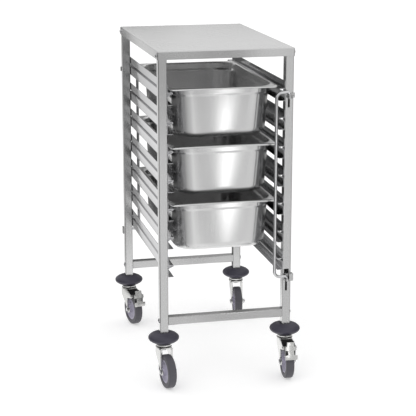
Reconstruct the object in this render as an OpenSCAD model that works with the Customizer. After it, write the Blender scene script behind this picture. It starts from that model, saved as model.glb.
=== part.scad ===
// Gastronorm tray trolley with a worktop, seven runner levels and locking bars
// The origin is on the floor under the middle of the worktop.
// X runs to the right, Y to the rear and Z up, in millimetres.

/* [Worktop] */
// Depth of the worktop, front to rear
top_d = 620; // [600:1:700]
// Height of the worktop above the floor
top_h = 990; // [960:1:1100]
// Thickness of the worktop sheet
top_t = 2; // [1:0.1:3]
// Height of the folded fascia
fascia_h = 24; // [18:0.5:30]
// Outer radius of the folded edges
edge_r = 3; // [2:0.1:4]

/* [Frame] */
// Gap between a container's rim and the posts, on each side
side_gap = 10.5; // [9:0.5:11]
// Side of the square posts
post_s = 25; // [20:0.5:28]
// Wall of the posts
post_t = 1.5; // [1:0.1:2]
// Outer corner radius of the square tubes
tube_r = 2.5; // [2:0.1:4]
// Side of the square cross bars
bar_s = 25; // [18:0.5:25]
// Wall of the cross bars
bar_t = 1.5; // [1:0.1:2.5]
// Height of the underside of the cross bars above the floor
bar_z = 184; // [175:1:230]
// Thickness of the end plates in the cross bars
plate_t = 6; // [4:0.5:10]

/* [Bolts] */
// Thread diameter of the bolts into the cross bars
bar_bolt_d = 8; // [6:0.5:10]
// Length of thread of the bolts inside the cross bars
bar_bolt_reach = 9; // [7:0.5:14]
// Thread diameter of the worktop bolts
top_bolt_d = 6; // [5:0.5:8]
// Height of the bolt heads
bolt_head_h = 4.5; // [3:0.5:6]

/* [Rails] */
// Distance from the top of the worktop to the first runner level
level_drop = 117; // [110:0.5:130]
// Pitch of the runner levels
level_pitch = 84.3; // [80:0.1:88]
// Sheet thickness of the rails
rail_t = 1.2; // [1:0.1:1.5]
// Reach of the runner flanges inwards from the post
rail_reach = 17; // [15:0.5:20]
// Height of the rail web above its runner level
rail_above = 22; // [15:0.5:25]
// Depth of the folded groove below the runner level
groove_h = 10.5; // [8:0.5:14]
// Distance from the runner level down to the rail's lower edge
rail_below = 36; // [30:0.5:40]

/* [Containers] */
// Width of a container over its rim
pan_w = 325; // [300:0.5:350]
// Length of a container over its rim
pan_l = 530; // [480:0.5:535]
// Depth of a container
pan_h = 150; // [65:1:150]
// Sheet thickness of a container
pan_t = 1; // [0.8:0.1:1.5]
// Height of the turned-down rim edge
rim_h = 5.5; // [4:0.5:7]
// Width of the flat rim
rim_w = 12.5; // [11:0.5:14]
// Plan radius of the rim corners
rim_r = 14; // [8:0.5:25]
// Plan radius of the wall corners
wall_r = 55; // [45:1:60]
// Depth of the stacking shoulder below the rim
shoulder_z = 20; // [16:1:30]
// Inward step of the stacking shoulder
shoulder_w = 4; // [2:0.5:6]
// Inward taper of the walls from shoulder to base
taper = 6; // [3:0.5:9]
// Radius between wall and base
base_r = 26; // [15:1:30]
// Distance from the front of the worktop to the rim of a container
pan_setback = 22; // [20:1:40]

/* [Locking bars] */
// Diameter of the bent rod
rod_d = 8; // [6:0.5:9]
// Distance from the pivot to the upright run of the rod
rod_reach = 39; // [30:1:45]
// Distance of the pivot axis in front of the post
rod_off = 9; // [8:0.5:12]
// Bend radius at the corners of the rod
rod_r = 15; // [12:1:20]
// Bend radius at the pivot ends of the rod
hook_r = 8; // [7:0.5:10]
// Length of the straight pivot legs
leg_l = 8; // [6:0.5:12]
// Height of the upper arm below the first runner level
arm_top_drop = 13; // [10:1:20]
// Height of the lower arm below the last runner level
arm_low_drop = 54; // [50:1:60]
// Thickness of the bracket plates
bracket_t = 5; // [4:0.5:6]
// Width of the punched slots in the post
slot_w = 6; // [4:0.5:7]
// Length of the punched slots in the post
slot_l = 34; // [25:1:40]
// Side of the punched square hole in the post
key_s = 15; // [10:0.5:16]

/* [Casters] */
// Diameter of the wheels
wheel_d = 100; // [90:1:102]
// Width of the tyres
wheel_w = 24; // [20:0.5:28]
// Depth of the tyre's rubber
tyre_h = 15; // [12:0.5:17]
// Shoulder radius of the tyre
tyre_r = 4.5; // [3:0.5:6]
// Distance of the axle behind the swivel axis
trail = 34; // [30:0.5:38]
// Height of the underside of the bumper disc above the floor
caster_h = 131; // [128:0.5:136]
// Diameter of the bumper disc
bumper_d = 92; // [80:1:100]
// Height of the bumper disc
bumper_h = 30; // [26:0.5:34]
// Thickness of the fork legs
fork_t = 3; // [2:0.5:4]
// Diameter of the axle
axle_d = 8; // [6:0.5:10]
// Diameter of the swivel pin
pin_d = 10; // [8:0.5:12]
// Diameter of the swivel head
head_d = 46; // [40:1:50]
// Heading of the front left caster
yaw_fl = 8; // [-30:0.5:30]
// Heading of the front right caster
yaw_fr = -2.5; // [-30:0.5:30]
// Heading of the rear left caster
yaw_rl = 14; // [-30:0.5:30]
// Heading of the rear right caster
yaw_rr = -6.5; // [-30:0.5:30]

/* [Brakes] */
// Width of the lip of the brake pedals
pedal_w = 37; // [30:1:40]
// Width of the tab and the neck of the brake pedals
tab_w = 21; // [16:1:26]
// Sheet thickness of the brake pedals
pedal_t = 2.5; // [2:0.5:3]
// Travel of the brake pedals in degrees
pedal_travel = 9; // [5:1:10]

/* [Hidden] */

$fn = 64;
// Gap between pieces that move on each other
gap = 0.3;
// Radial clearance of a running pin
run = 0.05;
// Radial clearance between fixed pieces
loose = 0.3;

steel = [0.80, 0.81, 0.82];
bright_steel = [0.86, 0.86, 0.87];
zinc = [0.72, 0.73, 0.74];
bumper_grey = [0.31, 0.30, 0.35];
hub_grey = [0.60, 0.60, 0.65];
tyre_grey = [0.30, 0.30, 0.32];

// The posts leave room for the containers, and stand inside the fascia
face_x = pan_w / 2 + side_gap;
post_x = face_x + post_s / 2;
top_w = 2 * (face_x + post_s + top_t);
face_y = top_d / 2 - top_t;
post_y = face_y - post_s / 2;
post_top = top_h - max(edge_r, top_t);
bolt_z = top_h - fascia_h / 2 - top_t / 2;
bar_mid = bar_z + bar_s / 2;

// Bumper disc and the post's seat in it
seat_z = caster_h + 17;
seat_clear = 0.2;
stem_d = 16;
expander_h = min(45, bar_mid - bar_bolt_d / 2 - seat_z - 4);

// Fork and swivel head
axle_z = wheel_d / 2;
fork_in = wheel_w / 2 + 5;
fork_out = fork_in + fork_t;
race_h = 9;
crown_top = caster_h - race_h - gap;
crown_low = crown_top - 9;
crown_r = head_d / 2 + 1;
pin_nut_h = 4;
rear_edge = 17;
front_edge = -26;
boss_r = 10.5;
ear_y = -trail - 25;
ear_z = wheel_d + 2;
ear_r = 6.5;
pedal_pin_d = 6;
rim_out = wheel_d / 2 - tyre_h;

// Number of runner levels, the first at the top
levels = 7;
// Steps in each quarter of a container's corners
corner_steps = 7;

function level_z(k) = top_h - level_drop - (k - 1) * level_pitch;

// Pivot axis of the front locking bar, and the heights of its arms
axis_x = post_x - 1.5;
axis_y = -face_y - rod_off;
arm_z_top = level_z(1) - arm_top_drop;
arm_z_low = level_z(levels) - arm_low_drop;

function unit(v) = v / norm(v);
function turn(v, a) = [v[0] * cos(a) - v[1] * sin(a), v[0] * sin(a) + v[1] * cos(a)];
function reversed(list) = [for (i = [len(list) - 1:-1:0]) list[i]];

// Points on one side of a bend of centre-line radius r at point b, between points a and c
function bend_side(a, b, c, r, off, n) =
  let (
    d1 = unit(b - a),
    d2 = unit(c - b),
    side = sign(d1[0] * d2[1] - d1[1] * d2[0]),
    angle = acos(d1 * d2),
    left = [-d1[1], d1[0]],
    centre = b - d1 * r * tan(angle / 2) + left * side * r
  )
  [for (i = [0:n]) centre - turn(left, side * angle * i / n) * side * (r - side * off)];

// One side of a sheet folded along the points p
function strip_side(p, r, off, n) =
  let (
    last = len(p) - 1,
    start = unit(p[1] - p[0]),
    end = unit(p[last] - p[last - 1])
  )
  concat(
    [p[0] + [-start[1], start[0]] * off],
    [for (i = [1:last - 1]) each bend_side(p[i - 1], p[i], p[i + 1], r, off, n)],
    [p[last] + [-end[1], end[0]] * off]
  );

// Section of a sheet of thickness t folded along the points p
module strip(p, t, r, n = 3) {
  polygon(concat(strip_side(p, r, t / 2, n), reversed(strip_side(p, r, -t / 2, n))));
}

// Flat-bottomed section with rounded upper corners
module capped_section(w, h, r) {
  translate([-w / 2, 0]) square([w, h - r]);
  translate([-w / 2 + r, 0]) square([w - 2 * r, h]);
  for (s = [-1, 1]) translate([s * (w / 2 - r), h - r]) circle(r);
}

// Box with folded top edges that meet in mitres
module capped_box(w, d, h, r) {
  intersection() {
    rotate([90, 0, 0]) linear_extrude(d, center = true) capped_section(w, h, r);
    rotate([90, 0, 90]) linear_extrude(w, center = true) capped_section(d, h, r);
  }
}

module rounded_square(s, r) {
  square([s, s - 2 * r], center = true);
  square([s - 2 * r, s], center = true);
  for (x = [-1, 1], y = [-1, 1]) translate([x, y] * (s / 2 - r)) circle(r);
}

module tube_section(s, t) {
  difference() {
    rounded_square(s, tube_r);
    rounded_square(s - 2 * t, max(tube_r - t, 0.3));
  }
}

// Cylinder along X
module x_rod(d, x0, x1) {
  translate([x0, 0, 0]) rotate([0, 90, 0]) cylinder(d = d, h = x1 - x0);
}

// Places a front right shape at another corner of the frame: sx and sy are -1 or 1
module corner(sx, sy) {
  if (sx > 0 && sy < 0) children();
  if (sx < 0 && sy > 0) rotate([0, 0, 180]) children();
  if (sx < 0 && sy < 0) mirror([1, 0, 0]) children();
  if (sx > 0 && sy > 0) mirror([0, 1, 0]) children();
}

module worktop() {
  color(bright_steel) difference() {
    translate([0, 0, top_h - fascia_h]) capped_box(top_w, top_d, fascia_h, edge_r);
    translate([0, 0, top_h - fascia_h - 1])
      capped_box(top_w - 2 * top_t, top_d - 2 * top_t, fascia_h - top_t + 1, max(edge_r - top_t, 0.3));
    for (x = [-1, 1], y = [-1, 1]) translate([x * top_w / 2, y * post_y, bolt_z])
      x_rod(top_bolt_d + 2 * loose, -10, 10);
  }
}

// Front right post. A post with locks is punched for the brackets of a locking bar.
module post_shape(locks) {
  color(steel) difference() {
    translate([post_x, -post_y, seat_z]) linear_extrude(post_top - seat_z) tube_section(post_s, post_t);
    translate([post_x, -post_y, bolt_z]) x_rod(top_bolt_d + 2 * loose, 0, post_s);
    translate([post_x, -post_y, bar_mid]) x_rod(bar_bolt_d + 2 * loose, -post_s, post_s);
    if (locks) lock_punches();
  }
}

module lock_punches() {
  punch_y = -face_y - 1;
  punch_t = post_t + 2;
  for (z = [arm_z_top - hook_r, arm_z_low - hook_r - gap - bracket_t])
    translate([axis_x - slot_w / 2, punch_y, z - slot_l]) cube([slot_w, punch_t, slot_l]);
  translate([axis_x - key_s / 2, punch_y, arm_z_low + rod_d / 2 + 1]) cube([key_s, punch_t, key_s]);
}

module cross_bar(sy) {
  half = face_x;
  color(steel) translate([0, sy * (face_y - bar_s / 2), bar_mid]) difference() {
    rotate([90, 0, 90]) linear_extrude(2 * half, center = true) rounded_square(bar_s, tube_r);
    rotate([90, 0, 90]) linear_extrude(2 * (half - plate_t), center = true)
      rounded_square(bar_s - 2 * bar_t, max(tube_r - bar_t, 0.3));
    translate([0, sy * (bar_s - post_s) / 2, 0]) x_rod(bar_bolt_d + 2 * loose, -half - 1, half + 1);
  }
}

// Cap bolt along X with the underside of its head at x = 0 and its shank towards -X
module cap_bolt(d, length, cap_d) {
  x_rod(d, -length, 0);
  rotate([0, 90, 0]) cylinder(d = cap_d, h = bolt_head_h / 2);
  translate([bolt_head_h / 2, 0, 0]) rotate([0, 90, 0])
    cylinder(d1 = cap_d, d2 = 0.6 * cap_d, h = bolt_head_h / 2);
}

// Solid hexagon along X
module hex_x(across, h) {
  rotate([0, 90, 0]) cylinder(d = across / cos(30), h = h, $fn = 6);
}

module worktop_bolts() {
  length = top_t + post_t + 8;
  color(zinc) for (sx = [-1, 1], sy = [-1, 1]) corner(sx, sy) translate([top_w / 2, -post_y, bolt_z]) {
    cap_bolt(top_bolt_d, length, 2 * top_bolt_d);
    translate([-top_t - post_t - 5, 0, 0]) hex_x(10, 5);
  }
}

module bar_bolts() {
  length = post_s + bar_bolt_reach;
  color(zinc) for (sx = [-1, 1], sy = [-1, 1]) corner(sx, sy)
    translate([post_x + post_s / 2, -post_y, bar_mid]) cap_bolt(bar_bolt_d, length, 1.7 * bar_bolt_d);
}

// Runner rail of level k on the side sx. The web lies on the inner faces of the posts.
module rail(sx, k) {
  mid = rail_t / 2;
  tip = rail_reach - mid;
  fold = 2 * rail_t;
  outline = [
    [mid, rail_above],
    [mid, -mid],
    [tip, -mid],
    [tip, -mid - fold],
    [mid, -groove_h],
    [mid, -rail_below + mid],
    [tip, -rail_below + mid]
  ];
  color(steel) translate([sx * face_x, 0, level_z(k)]) mirror([sx > 0 ? 1 : 0, 0, 0])
    rotate([90, 0, 0]) linear_extrude(2 * face_y, center = true) strip(outline, rail_t, rail_t);
}

// Ring of points: a rectangle of half sizes hx and hy with corner radius r, at height z
function ring(hx, hy, r, z) = [
  for (q = [0:3], i = [0:corner_steps])
    let (
      a = 90 * q + 90 * i / corner_steps,
      cx = (q == 0 || q == 3 ? 1 : -1) * (hx - r),
      cy = (q < 2 ? 1 : -1) * (hy - r)
    )
    [cx + r * cos(a), cy + r * sin(a), z]
];

// Section of a container as [inset from the rim's edge, height, corner radius] rows
function pan_profile(t) =
  let (
    top = rim_h - t,
    wall = rim_w + t,
    low = rim_h - pan_h + t,
    foot = wall + shoulder_w + taper,
    r = max(base_r - t, 2),
    steps = 5
  )
  concat(
    [
      [wall, top - 1.5, wall_r - 3],
      [wall + 1, -shoulder_z + shoulder_w, wall_r - 3],
      [wall + 1 + shoulder_w, -shoulder_z, wall_r]
    ],
    [
      for (i = [0:steps])
        let (a = 90 * i / steps)
        [foot + r * (1 - cos(a)), low + r * (1 - sin(a)), wall_r - r * (1 - cos(a))]
    ]
  );

// Open container with its rim's underside at z = 0
module pan_shape() {
  hx = pan_w / 2;
  hy = pan_l / 2;
  edge = 1.2;
  inner = pan_profile(pan_t);
  outer = [for (p = pan_profile(0)) [p[0], p[1], p[2] + pan_t]];
  rim = [
    [rim_w, rim_h - pan_t, wall_r - 2],
    [pan_t + 0.5, rim_h - pan_t, rim_r - 1.5],
    [pan_t + 0.5, 0, rim_r - 1.5],
    [0, 0, rim_r],
    [0, rim_h - edge, rim_r],
    [edge, rim_h, rim_r - edge],
    [rim_w - 0.8, rim_h, wall_r - 2.2]
  ];
  rows = concat(reversed(outer), rim, inner);
  rings = [for (p = rows) ring(hx - p[0], hy - p[0], p[2], p[1])];
  n = 4 * (corner_steps + 1);
  last = len(rings) - 1;
  points = [for (r = rings) each r];
  walls = [
    for (j = [0:last - 1], i = [0:n - 1])
      let (a = j * n + i, b = j * n + (i + 1) % n)
      each [[a, a + n, b], [b, a + n, b + n]]
  ];
  outside = [for (i = [0:n - 1]) i];
  inside = [for (i = [n - 1:-1:0]) last * n + i];
  polyhedron(points, concat(walls, [outside, inside]), convexity = 4);
}

// Container resting on the rails of level k
module pan(k) {
  color(bright_steel) translate([0, -top_d / 2 + pan_setback + pan_l / 2, level_z(k) + gap]) pan_shape();
}

// Quarter bend of rod from the direction of a to a + 90 degrees, in the XZ plane
module rod_bend(r, a) {
  rotate([90, 0, 0]) rotate([0, 0, a]) rotate_extrude(angle = 90) translate([r, 0]) circle(d = rod_d);
}

module lock_bar_shape() {
  corner_x = -rod_reach + rod_r;
  color(bright_steel) translate([axis_x, axis_y, 0]) {
    for (z = [arm_z_top, arm_z_low]) {
      translate([0, 0, z - hook_r - leg_l]) cylinder(d = rod_d, h = leg_l);
      translate([-hook_r, 0, z - hook_r]) rod_bend(hook_r, 0);
      translate([0, 0, z]) x_rod(rod_d, corner_x, -hook_r);
    }
    translate([corner_x, 0, arm_z_top - rod_r]) rod_bend(rod_r, 90);
    translate([corner_x, 0, arm_z_low + rod_r]) rod_bend(rod_r, 180);
    translate([-rod_reach, 0, arm_z_low + rod_r])
      cylinder(d = rod_d, h = arm_z_top - arm_z_low - 2 * rod_r);
  }
}

// Bracket under the arm at height z: an eye for the pivot leg, a back flange and an upstand on the right
module bracket_shape(z, stop_x, stop_h, stop_d) {
  eye_r = rod_d / 2 + 4;
  top = z - hook_r - gap;
  outer_x = post_x + post_s / 2;
  flange_t = 2;
  color(zinc) difference() {
    union() {
      translate([axis_x, axis_y, top - bracket_t]) cylinder(r = eye_r, h = bracket_t);
      translate([axis_x - eye_r, axis_y, top - bracket_t])
        cube([outer_x - axis_x + eye_r, -face_y - axis_y, bracket_t]);
      translate([axis_x - eye_r, -face_y - flange_t, top - bracket_t])
        cube([outer_x - axis_x + eye_r, flange_t, bracket_t + hook_r]);
      translate([stop_x, -face_y - stop_d, top - bracket_t])
        cube([outer_x + 3 - stop_x, stop_d, bracket_t + stop_h]);
    }
    translate([axis_x, axis_y, top - bracket_t - 1]) cylinder(d = rod_d + 2 * run, h = bracket_t + 2);
  }
}

module upper_bracket() {
  bracket_shape(arm_z_top, post_x + post_s / 2 - 3, 9, 4);
}

module lower_bracket() {
  bracket_shape(arm_z_low, axis_x + rod_d / 2 + 1, 17, rod_off + 7);
}

module bumper_section() {
  low_r = 30;
  rim_rise = 13;
  side_r = 9;
  r = bumper_d / 2;
  polygon([
    [0, 0],
    [low_r, 0],
    [r - 5, rim_rise - 6],
    [r - side_r + 6, rim_rise + 9],
    [r - 16, bumper_h - 4],
    [post_s / 2 + 8, bumper_h],
    [0, bumper_h]
  ]);
  translate([r - side_r, rim_rise]) circle(side_r);
}

module bumper(sx, sy) {
  pocket = post_s + 2 * seat_clear;
  color(bumper_grey) translate([sx * post_x, sy * post_y, caster_h]) difference() {
    rotate_extrude() bumper_section();
    translate([-pocket / 2, -pocket / 2, seat_z - caster_h]) cube([pocket, pocket, bumper_h]);
    translate([0, 0, -1]) cylinder(d = stem_d + 2 * seat_clear, h = bumper_h);
  }
}

// Stem: expander inside the post, upper race below the bumper and the swivel pin with its nut
module stem(sx, sy) {
  inner = post_s - 2 * post_t - 2 * seat_clear;
  nut_z = crown_low - gap - pin_nut_h;
  color(zinc) translate([sx * post_x, sy * post_y, 0]) {
    translate([0, 0, seat_z + 1]) linear_extrude(expander_h - 1) rounded_square(inner, tube_r);
    translate([0, 0, caster_h]) cylinder(d = stem_d, h = seat_z + 1 - caster_h);
    translate([0, 0, crown_top + gap]) cylinder(d = head_d - 8, h = race_h);
    translate([0, 0, crown_top + gap + 2]) cylinder(d = head_d, h = race_h - 2);
    translate([0, 0, nut_z]) cylinder(d = pin_d, h = crown_top + 1 - nut_z);
    translate([0, 0, nut_z]) cylinder(d = 1.8 * pin_d, h = pin_nut_h, $fn = 6);
  }
}

// Moves a shape drawn round the swivel axis to its corner and heading
module caster_at(sx, sy, yaw) {
  translate([sx * post_x, sy * post_y, 0]) rotate([0, 0, yaw]) children();
}

// Points of an arc round [y, z]
function arc(y, z, r, a0, a1, n) = [
  for (i = [0:n])
    let (a = a0 + (a1 - a0) * i / n)
    [y + r * cos(a), z + r * sin(a)]
];

// Side outline of a fork leg, as [y, z] points, with an ear at the front for a brake pedal
function leg_outline(braked) = concat(
  [[rear_edge, crown_low + 6], [front_edge, crown_low + 6]],
  braked
    ? concat(arc(ear_y, ear_z, ear_r, 60, 250, 8), [[front_edge - 4, axle_z + 39], [front_edge, axle_z + 35]])
    : [],
  [[front_edge, axle_z + 20]],
  arc(-trail, axle_z, boss_r, 150, 390, 12),
  [[-2, axle_z + 27], [rear_edge - 4, axle_z + 40], [rear_edge, axle_z + 47]]
);

module fork_shape(braked) {
  leg_top = braked ? axle_z + 36 : crown_low + 6;
  flange_in = wheel_w / 2 + 1.5;
  color(zinc) difference() {
    union() {
      translate([0, 0, crown_top - 3]) cylinder(r = crown_r - 6, h = 3);
      translate([0, 0, crown_low]) cylinder(r = crown_r, h = 6);
      intersection() {
        translate([-fork_out, front_edge, crown_low]) cube([2 * fork_out, rear_edge - front_edge, 6]);
        translate([0, 0, crown_low]) cylinder(r = fork_out + 10, h = 6);
      }
      for (s = [-1, 1]) translate([s * (fork_in + fork_t / 2), 0, 0])
        rotate([90, 0, 90]) linear_extrude(fork_t, center = true) polygon(leg_outline(braked));
      for (s = [-1, 1]) translate([s > 0 ? flange_in : -fork_in, front_edge, axle_z + 17])
        cube([fork_in - flange_in, fork_t, leg_top - axle_z - 17]);
    }
    translate([0, 0, crown_low - 1]) cylinder(d = pin_d + 2 * run, h = crown_top - crown_low + 2);
    translate([0, -trail, axle_z]) x_rod(axle_d + 2 * loose, -fork_out - 1, fork_out + 1);
    if (braked) translate([0, ear_y, ear_z]) x_rod(pedal_pin_d + 2 * run, -fork_out - 1, fork_out + 1);
  }
}

// Axle bolt with its head on the left and a nut on the right
module axle_shape() {
  head_h = 5;
  across = 13;
  color(bright_steel) translate([0, -trail, axle_z]) {
    x_rod(axle_d, -fork_out, fork_out + head_h + 2);
    for (x = [-fork_out - head_h, fork_out]) translate([x, 0, 0]) hex_x(across, head_h);
  }
}

// Hub, turned round the axle from its half section
module hub_shape() {
  half = fork_in - gap;
  barrel_r = axle_d / 2 + 7;
  web = 5;
  rim_half = wheel_w / 2 - 2;
  seat = rim_out - loose;
  rim_in = rim_out - 5;
  color(hub_grey) translate([0, -trail, axle_z]) rotate([0, 90, 0]) rotate_extrude()
    polygon([
      [axle_d / 2 + run, -half],
      [barrel_r - 1, -half],
      [barrel_r, -half + 1],
      [barrel_r + 2, -web - 2],
      [rim_in - 5, -web],
      [rim_in, -rim_half],
      [seat, -rim_half],
      [seat, rim_half],
      [rim_in, rim_half],
      [rim_in - 5, web],
      [barrel_r + 2, web + 2],
      [barrel_r, half - 1],
      [barrel_r - 1, half],
      [axle_d / 2 + run, half]
    ]);
}

module tyre_shape() {
  half = wheel_w / 2;
  shoulder = min(tyre_r, tyre_h / 2);
  lip = 1.5;
  color(tyre_grey) translate([0, -trail, axle_z]) rotate([0, 90, 0]) rotate_extrude() {
    translate([rim_out, -half + lip]) square([tyre_h - shoulder, wheel_w - 2 * lip]);
    translate([rim_out + lip, -half]) square([tyre_h - shoulder - lip, wheel_w]);
    translate([rim_out, -half + shoulder]) square([tyre_h, wheel_w - 2 * shoulder]);
    for (s = [-1, 1]) translate([wheel_d / 2 - shoulder, s * (half - shoulder)]) circle(shoulder);
  }
}

// Brake pedal: a tab, a neck and a wide lip on a cross pin, with a shoe that meets the tyre when it is pressed
module pedal_shape() {
  half = fork_in - gap;
  pivot = [ear_y, ear_z];
  tyre_at = pivot + turn([-trail, axle_z] - pivot, -pedal_travel);
  shoe_r = wheel_d / 2 + gap;
  tab = pivot + [-15, 22];
  waist = pivot + [-19, 6];
  neck = pivot + [-21, -1];
  lip = pivot + [-26, -12];
  lip_mid = pivot + [-29, -20];
  lip_end = pivot + [-30, -28];
  color(bright_steel) {
    rotate([90, 0, 90]) linear_extrude(tab_w, center = true) strip([tab, waist, neck, lip, lip_mid], pedal_t, 3);
    rotate([90, 0, 90]) linear_extrude(pedal_w, center = true) strip([lip, lip_mid, lip_end], pedal_t, 3);
    rotate([90, 0, 90]) linear_extrude(tab_w - 4, center = true)
      polygon(concat(arc(tyre_at[0], tyre_at[1], shoe_r, 118, 136, 4), [neck, waist, pivot + [-3, 5]]));
    translate([0, ear_y, ear_z]) x_rod(pedal_pin_d + 5, -half, half);
    translate([0, ear_y, ear_z]) x_rod(pedal_pin_d, -fork_out, fork_out);
  }
}

worktop();
corner(-1, -1) post_shape(false);  // post_front_left
corner(1, -1) post_shape(true);  // post_front_right
corner(-1, 1) post_shape(true);  // post_rear_left
corner(1, 1) post_shape(false);  // post_rear_right
cross_bar(-1);  // cross_bar_front
cross_bar(1);  // cross_bar_rear
worktop_bolts();
bar_bolts();
for (k = [1:levels]) rail(-1, k);
for (k = [1:levels]) rail(1, k);
pan(1);  // pan_top
pan(3);  // pan_middle
pan(5);  // pan_bottom
corner(1, -1) lock_bar_shape();  // lock_bar_front
corner(-1, 1) lock_bar_shape();  // lock_bar_rear
corner(1, -1) upper_bracket();  // bracket_front_upper
corner(1, -1) lower_bracket();  // bracket_front_lower
corner(-1, 1) upper_bracket();  // bracket_rear_upper
corner(-1, 1) lower_bracket();  // bracket_rear_lower
bumper(-1, -1);  // bumper_front_left
bumper(1, -1);  // bumper_front_right
bumper(-1, 1);  // bumper_rear_left
bumper(1, 1);  // bumper_rear_right
stem(-1, -1);  // stem_front_left
stem(1, -1);  // stem_front_right
stem(-1, 1);  // stem_rear_left
stem(1, 1);  // stem_rear_right
caster_at(-1, -1, yaw_fl) fork_shape(false);  // fork_front_left
caster_at(1, -1, yaw_fr) fork_shape(true);  // fork_front_right
caster_at(-1, 1, yaw_rl) fork_shape(true);  // fork_rear_left
caster_at(1, 1, yaw_rr) fork_shape(false);  // fork_rear_right
caster_at(-1, -1, yaw_fl) axle_shape();  // axle_front_left
caster_at(1, -1, yaw_fr) axle_shape();  // axle_front_right
caster_at(-1, 1, yaw_rl) axle_shape();  // axle_rear_left
caster_at(1, 1, yaw_rr) axle_shape();  // axle_rear_right
caster_at(-1, -1, yaw_fl) hub_shape();  // hub_front_left
caster_at(1, -1, yaw_fr) hub_shape();  // hub_front_right
caster_at(-1, 1, yaw_rl) hub_shape();  // hub_rear_left
caster_at(1, 1, yaw_rr) hub_shape();  // hub_rear_right
caster_at(-1, -1, yaw_fl) tyre_shape();  // tyre_front_left
caster_at(1, -1, yaw_fr) tyre_shape();  // tyre_front_right
caster_at(-1, 1, yaw_rl) tyre_shape();  // tyre_rear_left
caster_at(1, 1, yaw_rr) tyre_shape();  // tyre_rear_right
caster_at(1, -1, yaw_fr) pedal_shape();  // pedal_front_right
caster_at(-1, 1, yaw_rl) pedal_shape();  // pedal_rear_left
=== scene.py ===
"""Looks of a gastronorm tray trolley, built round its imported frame.

Shapes are worked out in millimetres, X to the right, Y to the rear and Z up, and turned into metres
when a piece is made. A shape is a grid of points whose rows are closed loops.
"""

import math

import bmesh
import bpy
import numpy as np
from mathutils import Matrix, Vector


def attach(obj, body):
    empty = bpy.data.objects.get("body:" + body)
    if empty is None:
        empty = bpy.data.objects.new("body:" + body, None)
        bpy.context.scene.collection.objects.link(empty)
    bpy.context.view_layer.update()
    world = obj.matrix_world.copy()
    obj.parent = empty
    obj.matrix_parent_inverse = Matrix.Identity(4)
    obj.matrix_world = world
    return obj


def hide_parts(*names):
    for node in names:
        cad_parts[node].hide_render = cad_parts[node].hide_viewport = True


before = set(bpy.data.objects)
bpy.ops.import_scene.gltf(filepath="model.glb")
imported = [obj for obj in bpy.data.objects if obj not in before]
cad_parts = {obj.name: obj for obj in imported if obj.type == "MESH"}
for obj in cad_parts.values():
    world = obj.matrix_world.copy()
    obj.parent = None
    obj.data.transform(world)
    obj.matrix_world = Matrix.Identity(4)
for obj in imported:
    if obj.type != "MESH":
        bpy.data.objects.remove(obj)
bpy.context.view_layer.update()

MM = 0.001

# Worktop: width, depth, height above the floor, thickness of the sheet and height of the fascia
TOP_W, TOP_D, TOP_H, TOP_T, FASCIA = 400.0, 620.0, 990.0, 2.0, 24.0

# Posts: side and wall of the square tube, the tube's middle, its inner side face and its outer end face
POST_S, POST_T = 25.0, 1.5
POST_X, POST_Y = TOP_W / 2 - TOP_T - POST_S / 2, TOP_D / 2 - TOP_T - POST_S / 2
FACE_X, FACE_Y = POST_X - POST_S / 2, POST_Y + POST_S / 2

# Bolts: their heights above the floor, the height of a cap, and the height and width of a nut
TOP_BOLT_Z, BAR_BOLT_Z = TOP_H - 13.0, 196.5
CAP_H, NUT_H, NUT_ACROSS = 4.5, 5.0, 10.0

# Runner levels: how many there are, the height of the first, and the distance from one to the next
LEVELS, LEVEL_1, PITCH = 7, TOP_H - 117.0, 84.3

# Rails: sheet, reach of the runner, the web's ends above and below the runner, and the groove's foot
RAIL_T, RAIL_REACH, RAIL_ABOVE, RAIL_BELOW, GROOVE = 1.2, 17.0, 22.0, 36.0, 10.5

# Containers: half the rim's width and depth, its middle from front to rear, the container's depth, the rim's
# height, the sheet, the gap under the rim, and the level on which each container hangs
PAN_X, PAN_Y = 325.0 / 2, 530.0 / 2
PAN_MID_Y = PAN_Y - TOP_D / 2 + 22.0
PAN_DEPTH, PAN_RIM, PAN_T, PAN_GAP = 150.0, 5.5, 1.0, 0.3
CONTAINERS = {"top": 1, "middle": 3, "bottom": 5}

# Locking bars: diameters of the rod and of its legs, reach of its arms, the pivot's place, the arms' heights
# and the lengths of the legs that hang from them
ROD_D, PIVOT_D, ROD_REACH = 9.4, 8.0, 39.0
LOCK_X, LOCK_Y = POST_X - 1.5, FACE_Y + 9.0
ARM_TOP, ARM_LOW, PIVOT_TOP, PIVOT_LOW = 864.5, 313.2, 20.5, 16.0

# Casters: the side of the trolley, its end and the heading in degrees
CASTERS = {
    "front_left": (-1, -1, 8.0),
    "front_right": (1, -1, -2.5),
    "rear_left": (-1, 1, 14.0),
    "rear_right": (1, 1, -6.5),
}
BRAKED = ("front_right", "rear_left")

# Wheels: radius, width, depth of the rubber, radius of its shoulders, and the axle's place
WHEEL_R, WHEEL_W, TYRE_DEPTH, TYRE_SHOULDER = 50.0, 24.0, 15.0, 4.5
TRAIL, AXLE_Z = 34.0, WHEEL_R

# Bumper discs: height of the foot above the floor, the disc's own height, and the seat's floor above the foot
BUMPER_Z, BUMPER_H, POST_SEAT = 131.0, 30.0, 17.0

# Forks: inner and outer face of a leg, the crown's front, rear, top and bend, the lower race, the gap from it
# to the upper one, and the boss at the axle
FORK_IN, FORK_OUT = 17.0, 20.0
FORK_T = FORK_OUT - FORK_IN
FORK_FRONT, FORK_REAR, FORK_TOP, CROWN_BEND = -26.0, 17.0, 118.7, 4.0
RACE_LOW, RACE_TOP, RACE_GAP = 109.6, 120.6, 0.2
BOSS_R = 10.5

# Brakes: the ear on which a pedal turns, and how far it turns, in degrees
EAR_Y, EAR_Z, EAR_R = -TRAIL - 25.0, 102.0, 6.5
PEDAL_TRAVEL = 9.0


# Points and paths


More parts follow.
